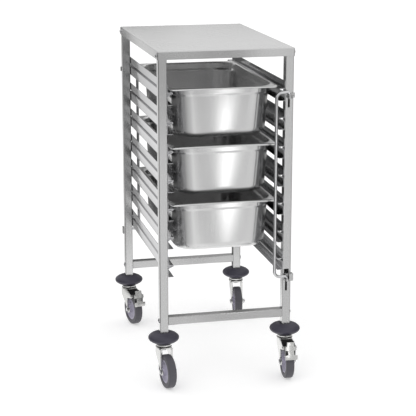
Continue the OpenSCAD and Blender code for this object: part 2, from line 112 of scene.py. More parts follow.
def arc(cx, cy, r, start, end, steps):
    """Points on a circle of radius r round (cx, cy), from the start to the end angle in degrees."""
    a = np.radians(np.linspace(start, end, steps + 1))
    return np.stack([cx + r * np.cos(a), cy + r * np.sin(a)], axis=-1)


def path_of(*runs):
    """One run of points from several runs or single points."""
    return np.concatenate([np.atleast_2d(np.asarray(run, float)) for run in runs])


def bent(points, radii, steps=6):
    """A line whose corners are rounded: each corner is an arc that touches both of its sides. The radii are
    one number for all the corners or one for each."""
    points = np.asarray(points, float)
    radii = np.broadcast_to(radii, len(points) - 2)
    runs = [points[:1]]
    for a, b, c, r in zip(points[:-2], points[1:-1], points[2:], radii):
        before, after = (b - a) / np.linalg.norm(b - a), (c - b) / np.linalg.norm(c - b)
        angle = math.acos(float(np.clip(before @ after, -1, 1)))
        inward = (after - before) / np.linalg.norm(after - before)
        centre = b + inward * r / math.cos(angle / 2)
        start = b - before * r * math.tan(angle / 2) - centre
        t = np.linspace(0, angle, steps + 1)[:, None]
        runs.append(centre + start * np.cos(t) + before * r * np.sin(t))
    runs.append(points[-1:])
    return np.concatenate(runs)


def offset(line, d):
    """A flat line moved sideways by d, to the left of its direction, with mitred corners."""
    way = np.diff(line, axis=0)
    way /= np.linalg.norm(way, axis=1)[:, None]
    left = np.stack([-way[:, 1], way[:, 0]], axis=-1)
    before = np.vstack([left[:1], left])
    after = np.vstack([left, left[-1:]])
    return line + (before + after) * (d / np.maximum(1 + (before * after).sum(1), 0.2))[:, None]


def folded(line, t):
    """Closed outline of a sheet of thickness t folded along a flat line."""
    return np.vstack([offset(line, t / 2), offset(line, -t / 2)[::-1]])


def from_pairs(x, pairs):
    """The value at each x on the straight lines between pairs of x and value."""
    return np.interp(x, *zip(*pairs))


def spun(profile, sides=64):
    """Rows of a profile of [radius, height] points turned round the Z axis."""
    a = np.linspace(0, 2 * np.pi, sides, endpoint=False)
    r, z = profile[:, :1], profile[:, 1:]
    return np.stack([r * np.cos(a), r * np.sin(a), z + 0 * a], axis=-1)


def rounded_loop(hx, hy, r, corner=8, side=0, bow=0.0):
    """Loops of rounded rectangles, one a row: half sizes hx and hy, corner radius r, and sides that swell
    by bow as a parabola. Corner and side are the numbers of steps in a corner and of points along a
    side."""
    sizes = np.broadcast_arrays(hx, hy, r, bow)
    hx, hy, r, bow = (np.asarray(size, float).reshape(-1, 1, 1) for size in sizes)
    sx = np.array([1, -1, -1, 1]).reshape(1, 4, 1)
    sy = np.array([1, 1, -1, -1]).reshape(1, 4, 1)
    a = np.radians(90.0 * np.arange(4)[:, None] + np.linspace(0, 90, corner + 1)[None])[None]
    arcs = np.stack([sx * (hx - r) + r * np.cos(a), sy * (hy - r) + r * np.sin(a)], axis=-1)
    t = (np.arange(1, side + 1) / (side + 1)).reshape(1, 1, -1, 1)
    last, first = arcs[:, :, -1:], np.roll(arcs, -1, axis=1)[:, :, :1]
    out = np.array([[0, 1], [-1, 0], [0, -1], [1, 0]], float).reshape(1, 4, 1, 2)
    straight = last + (first - last) * t + out * 4 * t * (1 - t) * bow[..., None]
    return np.concatenate([arcs, straight], axis=2).reshape(len(arcs), -1, 2)


def lifted(loops, z):
    """Flat loops with a height for each row."""
    z = np.broadcast_to(np.asarray(z, float).reshape(-1, 1, 1), loops.shape[:2] + (1,))
    return np.concatenate([loops, z], axis=-1)


def carried(line, section, up):
    """Rows of a closed flat section carried along a line in space. The section's second axis is square to
    the line and up, and its first is square to both. It may be one loop or one loop a point."""
    along = np.gradient(line, axis=0)
    along /= np.linalg.norm(along, axis=1)[:, None]
    side = np.cross(np.broadcast_to(up, along.shape), along)
    side /= np.linalg.norm(side, axis=1)[:, None]
    across = np.cross(along, side)
    section = np.broadcast_to(section, (len(line),) + np.shape(section)[-2:])
    return line[:, None] + section[..., :1] * across[:, None] + section[..., 1:] * side[:, None]


def turned(points, axis, degrees):
    """Points turned round an axis through the origin."""
    return np.asarray(points) @ np.array(Matrix.Rotation(math.radians(degrees), 3, axis)).T


def placed(points, x=0.0, y=0.0, z=0.0):
    """Points moved by x, y and z."""
    return np.asarray(points) + (x, y, z)


def laid_along_x(points):
    """A shape spun round Z, laid so that its axis points along X."""
    return np.stack([points[..., 2], points[..., 0], points[..., 1]], axis=-1)


def extruded_x(section, half):
    """A closed section of [y, z] points carried along X, from minus half to half."""
    x = np.array([-half, half]).reshape(2, 1, 1) + np.zeros((2, len(section), 1))
    return np.concatenate([x, np.broadcast_to(section, (2,) + section.shape)], axis=-1)


def at_corner(points, sx, sy):
    """A shape drawn at the front right corner, left there or turned half round to the rear left one."""
    return np.asarray(points) * (sx, -sy, 1)


def at_caster(points, corner):
    """Points drawn round a swivel axis, turned to the caster's heading and moved to its corner."""
    sx, sy, heading = CASTERS[corner]
    return placed(turned(points, "Z", heading), sx * POST_X, sy * POST_Y)


def at_axle(points):
    """A shape spun round Z, laid round the axle."""
    return placed(laid_along_x(points), 0, -TRAIL, AXLE_Z)


def at_ear(points):
    """A shape spun round Z, laid round the line on which a pedal turns."""
    return placed(laid_along_x(points), 0, EAR_Y, EAR_Z)


def level_z(level):
    """Height of a runner level above the floor."""
    return LEVEL_1 - (level - 1) * PITCH


def hexagon(across, h, bevel=1.0, tip=0.88):
    """Rows of a hexagon along Z. Over the height of the bevel it narrows to the share tip."""
    a = np.radians(np.arange(6) * 60.0)
    ring = np.stack([np.cos(a), np.sin(a)], axis=-1)[None] * across / 2 / math.cos(math.pi / 6)
    return lifted(np.concatenate([ring, ring, ring * tip]), [0, h - bevel, h])


# Making a piece


def skin(rows, ring=False):
    """Points and faces of a grid whose rows are closed loops. A ring also joins its last row to its first;
    the others get an end face on both end rows."""
    m, n = rows.shape[:2]
    i, j = np.meshgrid(np.arange(m if ring else m - 1), np.arange(n), indexing="ij")
    a, b = i * n + j, i * n + (j + 1) % n
    step = (i + 1) % m * n - i * n
    faces = np.stack([a, b, b + step, a + step], axis=-1).reshape(-1, 4).tolist()
    if not ring:
        faces += [list(range(n))[::-1], list(range((m - 1) * n, m * n))]
    return rows.reshape(-1, 3), faces


def piece(name, body, finish, shells, replaced, crease=32.0):
    """One object from closed shells, each a grid or a (grid, True) ring, that rides on a body and stands
    for a CAD node. Edges that turn by more than the crease, in degrees, stay sharp."""
    points, faces, count = [], [], 0
    for shell in shells:
        v, f = skin(*shell) if isinstance(shell, tuple) else skin(shell)
        points.append(v)
        faces += [[k + count for k in face] for face in f]
        count += len(v)
    mesh = bpy.data.meshes.new(name)
    mesh.from_pydata((np.concatenate(points) * MM).tolist(), [], faces)
    made = bmesh.new()
    made.from_mesh(mesh)
    bmesh.ops.recalc_face_normals(made, faces=made.faces)
    made.to_mesh(mesh)
    made.free()
    mesh.shade_smooth()
    mesh.set_sharp_from_angle(angle=math.radians(crease))
    mesh.materials.append(finish)
    obj = bpy.data.objects.new(name, mesh)
    bpy.context.scene.collection.objects.link(obj)
    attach(obj, body)
    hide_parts(replaced)


# Nodes of a finish


def node_maker(tree):
    """A function that adds a shader node of a kind to the tree, with its settings, links or sets its inputs
    by number or name, and gives its outputs."""

    def add(kind, inputs=(), **settings):
        node = tree.nodes.new("ShaderNode" + kind)
        for key, value in settings.items():
            setattr(node, key, value)
        for key, value in dict(inputs).items():
            if isinstance(value, bpy.types.NodeSocket):
                tree.links.new(value, node.inputs[key])
            else:
                node.inputs[key].default_value = value
        return node.outputs

    return add


def link(output, node, name):
    """Links an output to a node's named input."""
    node.id_data.links.new(output, node.inputs[name])


def maths(add, operation, *values):
    """The result of an operation on numbers or outputs."""
    return add("Math", dict(enumerate(values)), operation=operation)[0]


def ranged(add, value, start, end, first=0.0, last=1.0):
    """A number that runs from first to last while the value runs from start to end."""
    limits = {"From Min": start, "From Max": end, "To Min": first, "To Max": last}
    return add("MapRange", {"Value": value, **limits})[0]


def mixed(add, share, a, b, how="MIX"):
    """Colour a with a share of colour b mixed in or added."""
    return add("Mix", {"Factor": share, "A": a, "B": b}, data_type="RGBA", blend_type=how)["Result"]


def grey(level):
    """A neutral colour of a level from nought to one."""
    return (level, level, level, 1)


def between(add, share, low, high):
    """A colour that runs from low to high with the share."""
    ramp = add("ValToRGB", {"Fac": share})
    stops = ramp["Color"].node.color_ramp.elements
    stops[0].color, stops[1].color = (*low, 1), (*high, 1)
    return ramp["Color"]


def new_finish(name, colour, metallic, rough):
    """A material with its shader and its node maker."""
    mat = bpy.data.materials.new(name)
    mat.use_nodes = True
    shader = mat.node_tree.nodes["Principled BSDF"]
    shader.inputs["Base Color"].default_value = (*colour, 1)
    shader.inputs["Metallic"].default_value = metallic
    shader.inputs["Roughness"].default_value = rough
    return mat, shader, node_maker(mat.node_tree)


def vary_colour(add, shader, texture, colour, spread):
    """Lets a texture make the colour darker and lighter by the share spread."""
    low, high = (tuple(c * k for c in colour) for k in (1 - spread, 1 + spread))
    link(between(add, texture, low, high), shader, "Base Color")


def vary_roughness(add, shader, texture, rough, spread):
    """Lets the middle part of a texture's range change the roughness by spread, down and up."""
    link(ranged(add, texture, 0.3, 0.7, rough - spread, rough + spread), shader, "Roughness")


def raise_grain(add, shader, texture, strength, depth):
    """Bumps that follow a texture, to a depth in metres."""
    link(add("Bump", {"Strength": strength, "Distance": depth, "Height": texture})[0], shader, "Normal")


# Finishes


def brushed_steel(name, colour, rough, grain, spread=0.06, grain_depth=0.00002, stretch=0.0):
    """Steel with a fine brushed grain over a slow cloud, which change its colour and roughness by spread.
    Grain gives the lines' frequency along X, Y and Z: it is small along the brush marks. Stretch draws the
    reflections out upright, as fine polishing marks do that run level round a piece."""
    mat, shader, add = new_finish(name, colour, 1.0, rough)
    if stretch:
        shader.inputs["Anisotropic"].default_value = stretch
        shader.inputs["Anisotropic Rotation"].default_value = 0.25
        link(add("Tangent", direction_type="RADIAL", axis="Z")[0], shader, "Tangent")
    where = add("TexCoord")["Object"]
    lines = add("Mapping", {"Vector": where, "Scale": grain})[0]
    fine = add("TexNoise", {"Vector": lines, "Scale": 1.0, "Detail": 3.0, "Roughness": 0.6})[0]
    cloud = add("TexNoise", {"Vector": where, "Scale": 9.0, "Detail": 2.0})[0]
    both = maths(add, "MULTIPLY_ADD", cloud, 0.5, maths(add, "MULTIPLY", fine, 0.5))
    vary_colour(add, shader, both, colour, spread)
    vary_roughness(add, shader, both, rough, spread)
    raise_grain(add, shader, fine, 0.25, grain_depth)
    return mat


def moulded(name, colour, rough, grain, grain_depth, spread=0.12):
    """Moulded plastic or rubber with a fine even grain and a slow change of shade."""
    mat, shader, add = new_finish(name, colour, 0.0, rough)
    where = add("TexCoord")["Object"]
    fine = add("TexNoise", {"Vector": where, "Scale": grain, "Detail": 4.0, "Roughness": 0.65})[0]
    cloud = add("TexNoise", {"Vector": where, "Scale": 22.0, "Detail": 2.0})[0]
    vary_colour(add, shader, cloud, colour, spread)
    vary_roughness(add, shader, fine, rough, 0.08)
    raise_grain(add, shader, fine, 0.3, grain_depth)
    return mat


worktop_steel = brushed_steel("worktop_satin_steel", (0.56, 0.56, 0.56), 0.25, grain=(900, 6, 900))
post_steel = brushed_steel("post_steel", (0.53, 0.53, 0.53), 0.22, grain=(700, 700, 6), spread=0.03)
bar_steel = brushed_steel("bar_steel", (0.47, 0.47, 0.47), 0.24, grain=(6, 700, 700), spread=0.03)
rail_steel = brushed_steel("rail_polished_steel", (0.54, 0.54, 0.55), 0.13, grain=(700, 5, 700), spread=0.03)
pan_steel = brushed_steel("container_steel", (0.64, 0.64, 0.64), 0.245, grain=(400, 400, 5), spread=0.03,
                          grain_depth=0.000006, stretch=0.95)
rod_steel = brushed_steel("rod_steel", (0.6, 0.6, 0.61), 0.16, grain=(500, 500, 12), spread=0.03)
bracket_steel = brushed_steel("bracket_steel", (0.5, 0.5, 0.5), 0.24, grain=(300, 300, 300),
                              grain_depth=0.00001)
zinc = brushed_steel("caster_zinc", (0.58, 0.58, 0.57), 0.22, grain=(140, 140, 140), spread=0.05,
                     grain_depth=0.00001)
pedal_steel = brushed_steel("pedal_steel", (0.55, 0.55, 0.54), 0.2, grain=(200, 200, 200), spread=0.04,
                            grain_depth=0.00001)
bolt_steel = brushed_steel("bolt_steel", (0.52, 0.52, 0.53), 0.2, grain=(400, 400, 400), spread=0.03)
bumper_plastic = moulded("bumper_plastic", (0.046, 0.043, 0.064), 0.5, grain=700, grain_depth=0.00008)
# Near black: the brake shoe is black plastic, and the guard is painted shade inside the fork
dark_plastic_and_painted_shade = moulded("dark_plastic_and_painted_shade", (0.012, 0.012, 0.012), 0.42, grain=500, grain_depth=0.00004)
hub_plastic = moulded("hub_plastic", (0.4, 0.38, 0.47), 0.5, grain=500, grain_depth=0.00005)
tyre_rubber = moulded("tyre_rubber", (0.086, 0.083, 0.096), 0.6, grain=600, grain_depth=0.00008)


# Worktop


def worktop_sheet():
    """A folded sheet as loops of rounded rectangles, each with an inset from the outer faces and a height:
    out along the underside, down inside the fascia, round its lower edge, up its face and over the fold to
    the top. The loops reach in a little from the fold, and flat faces close the rest."""
    low, reach, fold, corner, edge = TOP_H - FASCIA, 12.0, 3.0, 2.6, 0.5
    line = path_of(
        (reach, TOP_H - TOP_T), arc(fold, TOP_H - fold, fold - TOP_T, 90, 180, 6),
        (TOP_T, low + edge), (1.6, low), (edge, low), (0.0, low + edge),
        arc(fold, TOP_H - fold, fold, 180, 90, 8), (reach, TOP_H),
    )
    inset = line[:, 0]
    loops = rounded_loop(TOP_W / 2 - inset, TOP_D / 2 - inset, np.maximum(corner - inset, 0.4), corner=4)
    return lifted(loops, line[:, 1])


piece("worktop_top", "frame", worktop_steel, [worktop_sheet()], "worktop")


# Bolts


def cap_bolt(d, length, head_d, head_h):
    """A bolt turned round its axis: a chamfered shank below the origin and a head that rises from a low rim
    as a quarter of an ellipse."""
    chamfer, rim = 0.8, 0.3 * head_h
    t = np.radians(np.linspace(0, 84, 9))
    shank = [(d / 2 - chamfer, -length), (d / 2, chamfer - length), (d / 2, 0)]
    head = np.stack([head_d / 2 * np.cos(t), rim + (head_h - rim) * np.sin(t)], axis=-1)
    return spun(path_of(shank, (head_d / 2, 0), head), 32)


def bolt_set(d, length, head_d, x, z, nut_at=None):
    """Four bolts through the sides of the frame, with nuts inside where they have them."""
    bolt = [placed(laid_along_x(cap_bolt(d, length, head_d, CAP_H)), x, -POST_Y, z)]
    if nut_at:
        bolt.append(placed(laid_along_x(hexagon(NUT_ACROSS, NUT_H)), nut_at, -POST_Y, z))
    return [shell * (sx, sy, 1) for shell in bolt for sx in (-1, 1) for sy in (-1, 1)]


both_walls = TOP_T + POST_T
piece("worktop_cap_bolts", "frame", bolt_steel,
      bolt_set(6.0, both_walls + 8, 12.0, TOP_W / 2, TOP_BOLT_Z, nut_at=TOP_W / 2 - both_walls - NUT_H),
      "worktop_bolts")
piece("bar_cap_bolts", "frame", bolt_steel,
      bolt_set(8.0, POST_S + 9, 13.6, POST_X + POST_S / 2, BAR_BOLT_Z), "bar_bolts")


# Runner rails


def runner_rail(sx, level):
    """A folded section carried from front to rear: a web on the posts, a runner flange with a groove folded
    back under it, and a second flange at the lower edge."""
    mid, tip = RAIL_T / 2, RAIL_REACH - RAIL_T / 2
    line = bent([(mid, RAIL_ABOVE), (mid, -mid), (tip, -mid), (tip, -mid - 2 * RAIL_T), (mid, -GROOVE),
                 (mid, mid - RAIL_BELOW), (tip, mid - RAIL_BELOW)], RAIL_T, 5)
    section = folded(line, RAIL_T)
    y = np.array([-FACE_Y, FACE_Y]).reshape(2, 1)
    x = sx * (FACE_X - section[:, 0])
    return np.stack(np.broadcast_arrays(x, y, level_z(level) + section[:, 1]), axis=-1)


for side, sx in (("left", -1), ("right", 1)):
    for level in range(1, LEVELS + 1):
        piece(f"runner_{side}_{level}", "frame", rail_steel, [runner_rail(sx, level)],
              f"rail_{side}_{level}")


# Containers


def container(level):
    """A pressed container as loops of rounded rectangles on both sides of one line of insets and heights.
    The line starts at the lower edge of the turned-down rim, goes over the flat rim, down the wall, in at
    the stacking shoulder, down the tapered wall and round into the base. Its plan corners open from a small
    radius at the rim's edge to a large one at the wall, and the sides swell between shoulder and base."""
    top, low = PAN_RIM - PAN_T / 2, PAN_RIM - PAN_DEPTH + PAN_T / 2
    shoulder, base, swell = -20.0, 90.0, 2.0
    corners = [(0.5, 0.3), (0.5, top), (13.5, top), (14.5, -13.5), (17.2, shoulder), (24.5, low), (base, low)]
    line = bent(corners, [4.3, 5.0, 5.0, 5.0, 26.0], 8)
    flat_rim = np.linspace((5.4, top), (8.0, top), 4)
    split = int(np.argmax(line[:, 0] > 6.0))
    line = np.concatenate([line[:split], flat_rim, line[split:]])
    inset, z = line[:, 0], line[:, 1]
    corner_r = [(0.5, 13.5), (2.0, 13.0), (12.0, 57.0), (25.0, 60.0), (50.5, 34.0), (base, 14.0)]
    plan = from_pairs(inset, corner_r)
    bow = swell * np.clip((shoulder - z) / 30.0, 0, 1) * np.clip((z - low) / 25.0, 0, 1)
    sides = []
    for t in (PAN_T / 2, -PAN_T / 2):
        edge = offset(line, t)
        r = np.maximum(plan - (edge[:, 0] - inset), 2.0)
        loops = rounded_loop(PAN_X - edge[:, 0], PAN_Y - edge[:, 0], r, corner=12, side=9, bow=bow)
        sides.append(lifted(loops, edge[:, 1]))
    rows = np.concatenate([sides[1][::-1], sides[0]])
    return placed(rows, 0, PAN_MID_Y, level_z(level) + PAN_GAP)


for name, level in CONTAINERS.items():
    piece(f"container_{name}", f"container_{name}", pan_steel, [container(level)], f"pan_{name}")


# Locking bars


def locking_bar():
    """A round rod carried along a bent path: a pivot leg, the upper arm, which slopes a little, the upright
    run, the lower arm and a pivot leg. The rod grows thinner towards its legs, whose ends are chamfered."""
    slope, chamfer = 3.0, 0.8
    points = [(0, ARM_TOP - PIVOT_TOP), (0, ARM_TOP), (-ROD_REACH, ARM_TOP - slope), (-ROD_REACH, ARM_LOW),
              (0, ARM_LOW), (0, ARM_LOW - PIVOT_LOW)]
    line = bent(points, [8.0, 18.0, 15.0, 8.0], 10)
    line = path_of(line[0], line[0] + (0, chamfer), line[1:-1], line[-1] + (0, chamfer), line[-1])
    radius = from_pairs(-line[:, 0], [(8.0, PIVOT_D / 2), (20.0, ROD_D / 2)])
    radius[[0, -1]] -= chamfer
    circle = arc(0, 0, 1.0, 0, 360, 24)[:-1]
    path = np.stack([LOCK_X + line[:, 0], np.full(len(line), -LOCK_Y), line[:, 1]], axis=-1)
    return carried(path, circle[None] * radius[:, None, None], (0, 1, 0))


for name, sx, sy in (("front", 1, -1), ("rear", -1, 1)):
    piece(f"locking_bar_{name}", f"lock_{name}", rod_steel, [at_corner(locking_bar(), sx, sy)],
          f"lock_bar_{name}")


# Bumper discs


def bumper_disc():
    """A disc in polar form: circles up its neck and belly, round its rim and up its shoulder, which then
    close in to the square of the post and go down into the post's seat."""
    gap, mouth, mouth_depth = 0.2, 1.06, 0.6
    neck = [(8.2, -3.2), (16.5, -3.2), (17.2, -2.6), (17.2, -0.4)]
    body = [(18.0, 0.0), (27.0, 0.0), (34.0, 1.2), (43.0, 7.0), (46.0, 12.5), (45.0, 18.0), (38.0, 24.0),
            (28.0, 28.6), (21.0, BUMPER_H)]
    line = path_of(neck, bent(body, [0.5, 8, 8, 7, 7, 8, 20], 4))
    a = np.linspace(0, 2 * np.pi, 96, endpoint=False)
    way = np.stack([np.cos(a), np.sin(a)], axis=-1)
    square = way * ((POST_S / 2 + gap) / np.abs(way).max(axis=1))[:, None]
    circles = line[:, :1, None] * way[None]
    rows = np.concatenate([circles, square[None] * mouth, square[None], square[None]])
    seat = [BUMPER_H, BUMPER_H - mouth_depth, POST_SEAT]
    return placed(lifted(rows, np.concatenate([line[:, 1], seat])), z=BUMPER_Z)


# Stems and swivel races


def stem():
    """The parts above the swivel, turned round its axis: the upper race with its shank, the swivel pin with
    its nut, and the square expander inside the post."""
    nut, race, shank, top = 106.4, RACE_TOP + RACE_GAP, 149.0, 188.5
    dish = bent([(4.0, race), (18.5, race), (22.5, race + 0.8), (22.5, race + 5.2), (16.0, race + 6.4),
                 (8.0, race + 6.6)], [0.3, 0.8, 1.6, 1.5], 4)
    sleeve = path_of((8.0, race + 6.8), (8.0, shank - 0.4), (6.0, shank))
    pin = path_of((4.4, nut), (5.0, nut + 0.6), (5.0, race + 1.8), (4.4, race + 2.0))
    half = np.array([10.3, 10.8, 10.8, 10.0])
    expander = lifted(rounded_loop(half, half, 2.0, 5), [shank, shank + 0.8, top - 1.0, top])
    return [spun(path_of(dish, sleeve)), spun(pin, 32), placed(hexagon(15.6, 3.0), z=nut), expander]


# Forks


def leg_edges(z, braked):
    """Front and rear edge of a fork leg at the heights z: a round boss at the axle, a rear edge that slants
    up to the crown, and a straight front edge with an ear before it where a pedal hangs."""
    boss = np.sqrt(np.maximum(BOSS_R ** 2 - (z - AXLE_Z) ** 2, 0.04))
    boss_end = AXLE_Z + BOSS_R / 2
    reach = BOSS_R * math.cos(math.radians(30))
    front_line = [(boss_end, -TRAIL - reach), (60, FORK_FRONT)]
    rear_line = [(boss_end, -TRAIL + reach), (77, -2), (90, FORK_REAR - 4), (97, FORK_REAR)]
    if braked:
        low, high = (EAR_Z + EAR_R * math.sin(math.radians(angle)) for angle in (-70, 60))
        front_line += [(85, FORK_FRONT), (89, FORK_FRONT - 4), (low, EAR_Y - 2.2), (high, EAR_Y + 3.3),
                       (FORK_TOP, FORK_FRONT)]
        ear = EAR_Y - np.sqrt(np.maximum(EAR_R ** 2 - (z - EAR_Z) ** 2, 0))
        front = np.where((z > low) & (z < high), ear, from_pairs(z, front_line))
    else:
        front = from_pairs(z, front_line)
    rear = from_pairs(z, rear_line)
    return np.where(z < boss_end, -TRAIL - boss, front), np.where(z < boss_end, -TRAIL + boss, rear)


def fork_leg(side, braked):
    """A leg as loops at rising heights. Each is a sheet across the leg, with its front edge turned inwards
    as a stiffening flange that dies away above the boss and below an ear."""
    round_boss = AXLE_Z - BOSS_R * np.cos(np.radians(np.linspace(4, 118, 16)))
    top = FORK_TOP - CROWN_BEND - FORK_T / 2
    z = np.concatenate([round_boss, np.linspace(round_boss[-1] + 0.8, top, 48)])
    front, rear = leg_edges(z, braked)
    depth, fade, low, high = 3.6, 3.0, 57.0, 84.0 if braked else math.inf
    flange = depth * np.clip((z - low) / fade, 0, 1) * np.clip((high - z) / fade, 0, 1)
    loops = []
    for y0, y1, f, level in zip(front, rear, flange, z):
        width = y1 - y0
        outer = bent([(y1, FORK_OUT), (y0, FORK_OUT), (y0, FORK_IN - f)], min(1.6, 0.4 * width), 5)
        tip = y0 + min(FORK_T, 0.8 * width)
        inner = bent([(tip, FORK_IN - f), (tip, FORK_IN - 0.02), (y1, FORK_IN - 0.01)], 0.01, 2)
        loop = np.vstack([outer, inner])
        loops.append(np.stack([side * loop[:, 1], loop[:, 0], np.full(len(loop), level)], axis=-1))
    return np.stack(loops)


def fork_crown():
    """The sheet between the legs, carried over the top of the fork: up from one leg, round the bend, across
    and down to the other."""
    mid, high = (FORK_IN + FORK_OUT) / 2, FORK_TOP - FORK_T / 2
    low = high - CROWN_BEND
    path = bent([(-mid, low), (-mid, high), (mid, high), (mid, low)], CROWN_BEND, 8)[1:-1]
    line = np.stack([path[:, 0], np.full(len(path), (FORK_FRONT + FORK_REAR) / 2), path[:, 1]], axis=-1)
    section = rounded_loop((FORK_REAR - FORK_FRONT) / 2, FORK_T / 2, 0.5, 3)[0]
    return carried(line, section, (0, 1, 0))


def lower_race():
    """The pressed dish on the crown, turned round the swivel axis."""
    bore, foot, belly, rim = 5.2, 14.0, 24.0, 18.0
    line = [(bore, RACE_LOW), (foot, RACE_LOW), (belly, RACE_LOW + 4.5), (belly, FORK_TOP),
            (rim, FORK_TOP + 0.4), (rim, RACE_TOP), (bore, RACE_TOP)]
    return spun(bent(line, [3.0, 0.8, 0.8, 0.3, 0.6], 4))


def fork(braked):
    """Both legs, the crown and the race on it."""
    return [fork_leg(-1, braked), fork_leg(1, braked), fork_crown(), lower_race()]


# Axles, hubs and tyres


def axle():
    """A bolt along X with a hexagon head, and a nut on its other end."""
    r, chamfer, end = 4.0, 0.8, FORK_OUT + 7.0
    shank = path_of((r - chamfer, -FORK_OUT), (r, chamfer - FORK_OUT), (r, end - chamfer), (r - chamfer, end))
    head = hexagon(13.0, 5.0)
    return [at_axle(spun(shank, 32)), at_axle(placed(head * (1, 1, -1), z=-FORK_OUT)),
            at_axle(placed(head, z=FORK_OUT))]


def hub():
    """A hub turned round the axle: a long barrel, a dished web and a rim that carries the tyre."""
    bore, barrel, web = 4.05, 11.0, 5.0
    half, rim, edge = FORK_IN - 0.3, WHEEL_R - TYRE_DEPTH - 0.3, WHEEL_W / 2 - 2
    side = [(barrel - 1, half), (barrel, half - 1), (barrel + 1.2, 8.0), (barrel + 6, web), (rim - 8, web),
            (rim - 4.7, edge), (rim, edge)]
    bends = [0.4, 0.4, 2, 3, 3, 1, 0.4]
    back = [(r, -x) for r, x in reversed(side)]
    line = bent([(bore, half)] + side + back + [(bore, -half)], bends + bends[::-1], 4)
    return [(at_axle(spun(line, 96)), True)]


def tyre():
    """A tyre turned round the axle: flat tread, round shoulders and upright sides with a small lip at the
    hub."""
    seat, half, s, lip = WHEEL_R - TYRE_DEPTH, WHEEL_W / 2, TYRE_SHOULDER, 1.5
    line = path_of(
        arc(seat + lip, half - lip, lip, 180, 90, 4), arc(WHEEL_R - s, half - s, s, 90, 0, 10),
        arc(WHEEL_R - s, s - half, s, 0, -90, 10), arc(seat + lip, lip - half, lip, 270, 180, 4),
    )
    return [(at_axle(spun(line, 120)), True)]


# Brakes


def with_steps(path, heights):
    """A falling path with a pair of points, 1 mm apart, where it passes each height."""
    for height in heights:
        k = int(np.argmax(path[:, 1] < height))
        way = path[k] - path[k - 1]
        cut = path[k - 1] + way * (height - path[k - 1, 1]) / way[1]
        step = way / np.linalg.norm(way) * 0.5
        path = path_of(path[:k], cut - step, cut + step, path[k:])
    return path


def pedal():
    """A sheet whose width changes along its path: a tab, a cross plate, a neck and a wide lip. Behind it is
    the barrel on its cross pin, which has a head on both ends."""
    tab_w, cross_w, neck_w, lip_w, thick = 23.0, 34.0, 19.5, 38.0, 2.5
    cross_top, cross_low, lip_top = EAR_Z + 9.0, EAR_Z - 2.0, EAR_Z - 14.5
    points = np.array([(-15, 22), (-19, 6), (-21, -1), (-26, -12), (-29, -20), (-30, -28)]) + (EAR_Y, EAR_Z)
    path = with_steps(bent(points, 3.0, 5), (cross_top, cross_low, lip_top))
    z = path[:, 1]
    width = np.select([z > cross_top, z > cross_low, z > lip_top], [tab_w, cross_w, neck_w], lip_w)
    width[[0, -1]] -= 1.4
    line = np.stack([np.zeros(len(path)), path[:, 0], path[:, 1]], axis=-1)
    sheet = carried(line, rounded_loop(width / 2, thick / 2, 1.0, 4), (1, 0, 0))
    barrel = path_of((4.9, -15.2), (5.5, -14.6), (5.5, 14.6), (4.9, 15.2))
    pin = path_of((3.4, -22.4), (4.6, -21.4), (4.6, -20.1), (3.0, -20.0), (3.0, 20.0), (4.6, 20.1),
                  (4.6, 21.4), (3.4, 22.4))
    return [sheet, at_ear(spun(barrel, 40)), at_ear(spun(pin, 32))]


def brake_shoe():
    """A moulded block behind the pedal's neck. Its face is an arc about the axle as it stands when the
    pedal is down."""
    half, clearance = 14.5, 0.3
    to_axle = np.array([-TRAIL - EAR_Y, AXLE_Z - EAR_Z])
    y, z = to_axle @ np.array(Matrix.Rotation(math.radians(PEDAL_TRAVEL), 2)) + (EAR_Y, EAR_Z)
    face = arc(y, z, WHEEL_R + clearance, 118, 136, 8)
    back = np.array([(-20.5, -1), (-18.5, 6), (-3, 5)]) + (EAR_Y, EAR_Z)
    return extruded_x(path_of(face, back), half)


def brake_guard():
    """A thin near-black channel of painted shade, carried down from the crown to the ears, which grows deeper
    on
    its way: it stands in for the shade inside the fork. Its back closes the fork above the tyre, and its
    sides line the legs."""
    rows, half, sheet = 9, 16.1, 1.2
    y, z = np.linspace(-21.0, -53.0, rows), np.linspace(115.6, 107.6, rows)
    line = np.stack([np.zeros(rows), y, z], axis=-1)
    sections = [folded(bent([(-half, depth), (-half, 0.0), (half, 0.0), (half, depth)], 2.0, 5), sheet)
                for depth in np.linspace(10.0, 19.0, rows)]
    return carried(line, np.stack(sections), (1, 0, 0))


# Casters


for corner, (sx, sy, _) in CASTERS.items():
    post = (sx * POST_X, sy * POST_Y)
    caster, wheel, brake = f"caster_{corner}", f"wheel_{corner}", f"brake_{corner}"
    piece(f"bumper_disc_{corner}", "frame", bumper_plastic, [placed(bumper_disc(), *post)],
          f"bumper_{corner}", crease=60)
    piece(f"swivel_stem_{corner}", "frame", zinc, [placed(shell, *post) for shell in stem()],
          f"stem_{corner}")
    made = [
        ("pressed_fork", caster, "caster_zinc", zinc, fork(corner in BRAKED), "fork"),
        ("axle_bolt", caster, "bolt_steel", bolt_steel, axle(), "axle"),
        ("wheel_hub", wheel, "hub_plastic", hub_plastic, hub(), "hub"),
        ("wheel_tyre", wheel, "tyre_rubber", tyre_rubber, tyre(), "tyre"),
    ]
    if corner in BRAKED:
        made += [
            ("brake_pedal", brake, "caster_zinc", pedal_steel, pedal(), "pedal"),
            ("brake_shoe", brake, "bumper_plastic", dark_plastic_and_painted_shade, [brake_shoe()], "pedal"),
            # The guard is painted shade: a near-black sheet where the fork's inside lies in shade
            ("brake_guard", caster, "bumper_plastic", dark_plastic_and_painted_shade, [brake_guard()], "fork"),
        ]
    for name, body, slot, finish, shells, node in made:
        shells = [(at_caster(s[0], corner), True) if isinstance(s, tuple) else at_caster(s, corner)
                  for s in shells]
        piece(f"{name}_{corner}", body, finish, shells, f"{node}_{corner}")


# The CAD nodes that stay take their finish here

NODE_FINISHES = {"post": post_steel, "cross": bar_steel, "bracket": bracket_steel}

